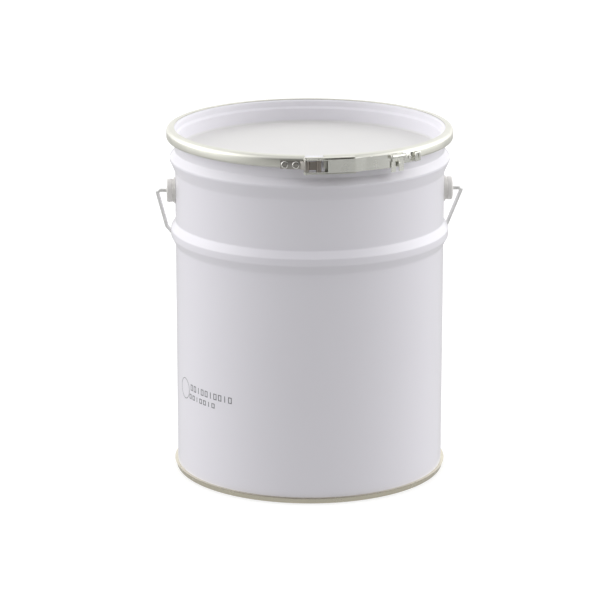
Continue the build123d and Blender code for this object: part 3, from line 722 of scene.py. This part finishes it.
# Heights in millimetres above the closure's middle
LEVER_HALF = 7.0
LEVER_FLANGES = ((6.1, 7.0), (-7.0, -6.1))
BRACKET_HALF = 8.5
BRACKET_WALLS = ((7.7, 8.5), (-8.5, -7.7))
STRAP_HALF = 4.2
BARREL_HALF = 5.8
KEEPER_HALF = 5.4
STAPLE_UP = -3.4
CATCH_PIN_UP = 4.7
DRILL_HALF = 9.0

# Radii of pins, lugs and bores in millimetres
LEVER_EYE = 2.95
LUG = 2.5
PIN_BORE = 1.5
HINGE_BORE = 1.3
CATCH_BARREL = 1.9
RIVET_BORE = 2.3


def plan(radius, angle):
    """Point in plan at a radius in millimetres beyond the ring and an angle from the front."""
    reach = RING_OUT + radius * MM
    return Vector((reach * sin(radians(angle)), -reach * cos(radians(angle))))


def plan_arc(radius, start, end, steps=12):
    return [plan(radius, start + (end - start) * i / steps) for i in range(steps + 1)]


def sector(inner, outer, start, end, steps):
    """Outline in plan between two radii and two angles."""
    return plan_arc(inner, start, end, steps) + plan_arc(outer, end, start, steps)


def plate(points, low, high):
    """Plate cut to an outline in plan, between two heights in millimetres above the closure's middle."""
    deselect()
    points = [Vector(point) for point in points]
    bpy.ops.mesh.primitive_plane_add(size=MM, location=(*points[0], CLOSURE_Z + low * MM))
    piece = bpy.context.object
    edit()
    bpy.ops.mesh.merge(type="CENTER")
    for last, point in zip(points, points[1:]):
        bpy.ops.mesh.extrude_region_move(TRANSFORM_OT_translate={"value": (*(point - last), 0)})
    bpy.ops.mesh.select_all(action="SELECT")
    bpy.ops.mesh.edge_face_add()
    bpy.ops.mesh.select_all(action="SELECT")
    bpy.ops.mesh.extrude_region_move(TRANSFORM_OT_translate={"value": (0, 0, (high - low) * MM)})
    bpy.ops.object.mode_set(mode="OBJECT")
    settle(piece)
    mend(piece)
    return piece


def pin(spot, radius, low, high, steps=32):
    """Upright round bar at a spot in plan."""
    deselect()
    middle, depth = CLOSURE_Z + (low + high) / 2 * MM, (high - low) * MM
    bpy.ops.mesh.primitive_cylinder_add(
        vertices=steps, radius=radius * MM, depth=depth, location=(spot[0], spot[1], middle)
    )
    piece = bpy.context.object
    settle(piece)
    return piece


def block(angle, around, up, out, size):
    """Block on the ring's outside, its place and size given round, up and outwards in millimetres."""
    deselect()
    bpy.ops.mesh.primitive_cube_add(size=MM)
    piece = bpy.context.object
    piece.scale = (size[0], size[2], size[1])
    turn = radians(angle)
    middle = plan(out, angle)
    spot = (middle.x + around * MM * cos(turn), middle.y + around * MM * sin(turn))
    piece.location = (*spot, CLOSURE_Z + up * MM)
    piece.rotation_euler.z = turn
    settle(piece)
    return piece


def drill(piece, spot, radius):
    """Bores a hole for a pin right through."""
    cut(piece, pin(spot, radius, -DRILL_HALF, DRILL_HALF))


def cut(piece, tool):
    """Takes the tool's shape out of the piece."""
    apply_modifier(piece, "BOOLEAN", object=tool, operation="DIFFERENCE", solver="EXACT")
    bpy.data.objects.remove(tool)


def weld(piece, other):
    """Welds another solid to the piece."""
    apply_modifier(piece, "BOOLEAN", object=other, operation="UNION", solver="EXACT")
    bpy.data.objects.remove(other)


def fit_closure(piece, name, body, material, soft, *nodes, slot="zinc_plate"):
    """Breaks the piece's sharp edges, turns it to its place on the ring and gives it its finish."""
    if soft:
        limit = radians(35)
        apply_modifier(piece, "BEVEL", width=soft * MM, segments=3, limit_method="ANGLE", angle_limit=limit)
    piece.rotation_euler.z = radians(FRONT)
    settle(piece)
    mend(piece, 1e-7)
    smooth(piece, 32)
    label(piece, name)
    wear(piece, material)
    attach(piece, body)
    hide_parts(*nodes)


def lever_plate():
    """Pressed lever: a channel over the link, a ramp, then the flat handle with a slot for the staple."""
    crown, handle = (WINDOW_RIGHT, BRACKET_RIGHT), (HANDLE_LEFT, HANDLE_RIGHT, 16)
    outside = plan_arc(LEVER_OUT, *crown) + plan_arc(HANDLE_OUT, *handle)
    inside = plan_arc(LEVER_IN, *crown) + plan_arc(HANDLE_IN, *handle)
    piece = plate(outside + inside[::-1], -LEVER_HALF, LEVER_HALF)
    deep = plan_arc(LEVER_OUT, NOSE, WINDOW_RIGHT, 10)[:-1] + outside
    back = plan_arc(1.7, NOSE, BRACKET_RIGHT, 16) + plan_arc(1.2, HANDLE_LEFT - 2.0, HANDLE_RIGHT, 16)
    for low, high in LEVER_FLANGES:
        flange = plate(deep + back[::-1], low, high)
        weld(flange, pin(FULCRUM_SPOT, LEVER_EYE, low, high))
        weld(piece, flange)
    cut(piece, block(STAPLE, 1.0, STAPLE_UP, HANDLE_OUT, (4.5, 6.0, 4.0)))
    for side in (-1, 1):
        weld(piece, block(STAPLE, side * 8.7, 4.6, 5.8, (1.0, 3.6, 4.8)))
    for spot in (FULCRUM_SPOT, LINK_SPOT):
        drill(piece, spot, PIN_BORE)
    fit_closure(piece, "lever_plate", "lever", LEVER_PLATE, 0.28, "lever")


def strap_plate():
    """Strap on the ring's free end, rolled into a barrel round the hinge pin."""
    end = degrees(atan2(HINGE_SPOT.x, -HINGE_SPOT.y))
    inner = plan_arc(0.0, STRAP_LEFT, end, 14)
    outer = plan_arc(STRAP_OUT, end, STRAP_LEFT + STRAP_SLANT, 14)
    piece = plate(inner + outer, -STRAP_HALF, STRAP_HALF)
    tangent = HINGE_SPOT.xy + Vector((-1.9, -1.5)) * MM
    ramp = [plan(0.8, end - 2.6), tangent, HINGE_SPOT.xy, plan(0.8, end)]
    weld(piece, plate(ramp, 0.01 - STRAP_HALF, STRAP_HALF - 0.01))
    weld(piece, pin(HINGE_SPOT, LUG, -BARREL_HALF, BARREL_HALF, 40))
    drill(piece, HINGE_SPOT, HINGE_BORE)
    fit_closure(piece, "strap_plate", "ring_free_end", STRAP_PLATE, 0.25, "strap")


def keeper_plate():
    """Plate on the band with the staple that the catch straddles and a raised eye for a seal."""
    piece = plate(sector(0.0, PLATE_SHEET, KEEPER_LEFT, KEEPER_RIGHT, 18), -KEEPER_HALF, KEEPER_HALF)
    weld(piece, block(STAPLE, 0.0, STAPLE_UP, 4.8, (1.5, 4.6, 8.8)))
    eye = block(EYE, 0.0, 0.0, 2.4, (8.4, 9.6, 4.0))
    cut(eye, block(EYE, 0.0, 0.0, 1.7, (6.0, 20.0, 3.4)))
    cut(eye, block(EYE, 1.0, 0.0, 4.4, (1.3, 5.6, 4.0)))
    weld(piece, eye)
    fit_closure(piece, "keeper_plate", "ring", LEVER_PLATE, 0.25, "keeper")


def catch_flap():
    """Two-pronged flap that hangs each side of the staple, hinged on the lever."""
    piece = block(STAPLE, 0.0, STAPLE_UP, CATCH_OUT, (15.6, 16.2, 0.9))
    cut(piece, block(STAPLE, 0.0, -7.35, CATCH_OUT, (4.2, 14.1, 6.0)))
    for side in (-1, 1):
        cut(piece, block(STAPLE, side * 7.8, 1.2, CATCH_OUT, (2.4, 3.2, 6.0)))
    barrel = pin((0, 0), CATCH_BARREL, -7.8, 7.8)
    barrel.data.transform(Matrix.Translation((0, 0, -CLOSURE_Z)))
    place = (*plan(CATCH_PIN_OUT, STAPLE), CLOSURE_Z + CATCH_PIN_UP * MM)
    about_axis(barrel, (0, radians(90), radians(STAPLE)), place)
    weld(piece, barrel)
    fit_closure(piece, "catch_flap", "catch", LEVER_PLATE, 0.22, "safety_catch")


def bracket():
    """Channel on the ring's fixed end whose walls carry the lever's fulcrum."""
    base = sector(0.0, PLATE_SHEET, BRACKET_LEFT, BRACKET_RIGHT, 14)
    side = sector(0.0, BRACKET_OUT, BRACKET_LEFT, BRACKET_RIGHT, 14)
    tongue = sector(1.2, BRACKET_OUT, NOSE, TONGUE_RIGHT, 8)
    piece = plate(base, -BRACKET_HALF, BRACKET_HALF)
    for low, high in BRACKET_WALLS:
        wall = plate(side, low, high)
        weld(wall, plate(tongue, low, high))
        weld(wall, pin(FULCRUM_SPOT, LUG, low, high))
        weld(piece, wall)
    drill(piece, FULCRUM_SPOT, PIN_BORE)
    fit_closure(piece, "bracket", "ring", BAND_PLATE, 0.2, "fulcrum_bracket")


def tubular_rivet(angle):
    """Hollow rivet: a rounded flange, an open bore and a floor inside it, which strap_rivets paints dark as
    painted shade.
    """
    rim = [(RIVET_BORE, 2.0), (2.7, 2.5), (3.3, 2.4), (3.8, 2.0), (3.9, 1.2)]
    section = [(0.0, 0.0), (RIVET_BORE, 0.0), *rim, (0.0, -0.2)]
    rivet = spun(outline([(radius * MM, height * MM) for radius, height in section]), 0.0, 360.0, 40)
    about_axis(rivet, (radians(90), 0, radians(angle)), (*plan(0.0, angle), CLOSURE_Z))
    return rivet


def strap_rivets():
    """The two rivets of the strap, their bore walls and floors painted dark steel as painted shade."""
    first, second = tubular_rivet(STRAP_RIVETS[0]), tubular_rivet(STRAP_RIVETS[1])
    pick(first, second)
    bpy.ops.object.join()
    fit_closure(first, "tubular_rivets", "ring_free_end", RIVET_STEEL, 0, "strap_rivets", slot="steel_pin")
    # Painted shade: the bore's wall and floor take the dark steel material.
    first.data.materials.append(DARK_STEEL_AND_BORE_SHADE)
    for face in first.data.polygons:
        spot = TO_FRONT @ face.center
        for angle in STRAP_RIVETS:
            along = Vector((cos(radians(angle)), sin(radians(angle))))
            around = (spot.xy - plan(0.0, angle)).dot(along)
            if hypot(around, spot.z - CLOSURE_Z) < (RIVET_BORE + 0.01) * MM:
                face.material_index = 1


# ---------------------------------------------------------------- printed mark, in millimetres
MARK_ANGLE = -52.0
MARK_DROP = 269.0
MARK_RING = (-45.0, -5.4)
MARK_RING_RADIUS = 11.4
INK_LIFT = 0.03
INK_DEPTH = 0.04
STROKE = 1.1
CAP = 1.0
LETTER_PITCH = 7.0
# Each row: height of its middle, height of its letters, start and number of letters
MARK_ROWS = ((-0.8, 6.8, -28.0, 10), (-11.2, 5.4, -31.0, 7))


def wrapped(piece, angle, height):
    """Rolls a flat piece drawn about the origin onto the wall, its X going round and its Y up."""
    for vertex in piece.data.vertices:
        turn = radians(angle) + vertex.co.x / BODY_OUT
        reach = BODY_OUT + INK_LIFT * MM + vertex.co.z
        vertex.co = Vector((reach * sin(turn), -reach * cos(turn), height + vertex.co.y))


def ink_stroke(across, up, width, height):
    deselect()
    bpy.ops.mesh.primitive_plane_add(size=MM, location=(across * MM, up * MM, 0))
    stroke = bpy.context.object
    stroke.scale = (width, height, 1.0)
    settle(stroke)
    return stroke


def batch_mark():
    """Ink mark low on the wall: a ring beside two rows of open boxes and bars. It says nothing."""
    deselect()
    place = (MARK_RING[0] * MM, MARK_RING[1] * MM, 0)
    bpy.ops.mesh.primitive_circle_add(
        vertices=48, radius=MARK_RING_RADIUS * MM, fill_type="NGON", location=place
    )
    piece = bpy.context.object
    edit()
    bpy.ops.mesh.inset(thickness=0.7 * MM)
    bpy.ops.mesh.delete(type="FACE")
    bpy.ops.object.mode_set(mode="OBJECT")
    settle(piece)
    strokes = [piece]
    for level, height, start, count in MARK_ROWS:
        for letter in range(count):
            middle = start + LETTER_PITCH * letter
            if letter % 3 == 2:
                strokes.append(ink_stroke(middle, level, STROKE, height))
                continue
            for side in (-1, 1):
                strokes.append(ink_stroke(middle + side * 1.8, level, STROKE, height))
                strokes.append(ink_stroke(middle, level + side * (height - CAP) / 2, 2.5, CAP))
    pick(*strokes)
    bpy.ops.object.join()
    edit()
    bpy.ops.mesh.select_all(action="SELECT")
    bpy.ops.mesh.extrude_region_move(TRANSFORM_OT_translate={"value": (0, 0, INK_DEPTH * MM)})
    bpy.ops.object.mode_set(mode="OBJECT")
    mend(piece, 1e-7)
    wrapped(piece, MARK_ANGLE, RIM_TOP - MARK_DROP * MM)
    label(piece, "batch_mark")
    wear(piece, INK)
    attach(piece, "can")


def finish_cad_nodes():
    for name, material in CAD_FINISHES.items():
        wear(frame["nodes"][name], material)


place_camera()
tent()
floor()
finish_cad_nodes()
body_wall()
side_seam()
chime()
lid_cover()
clamping_ring()
ear("bail_ear_left", -1)
ear("bail_ear_right", 1)
bail_wire()
grip_sleeve()
lever_plate()
strap_plate()
keeper_plate()
catch_flap()
bracket()
strap_rivets()
batch_mark()
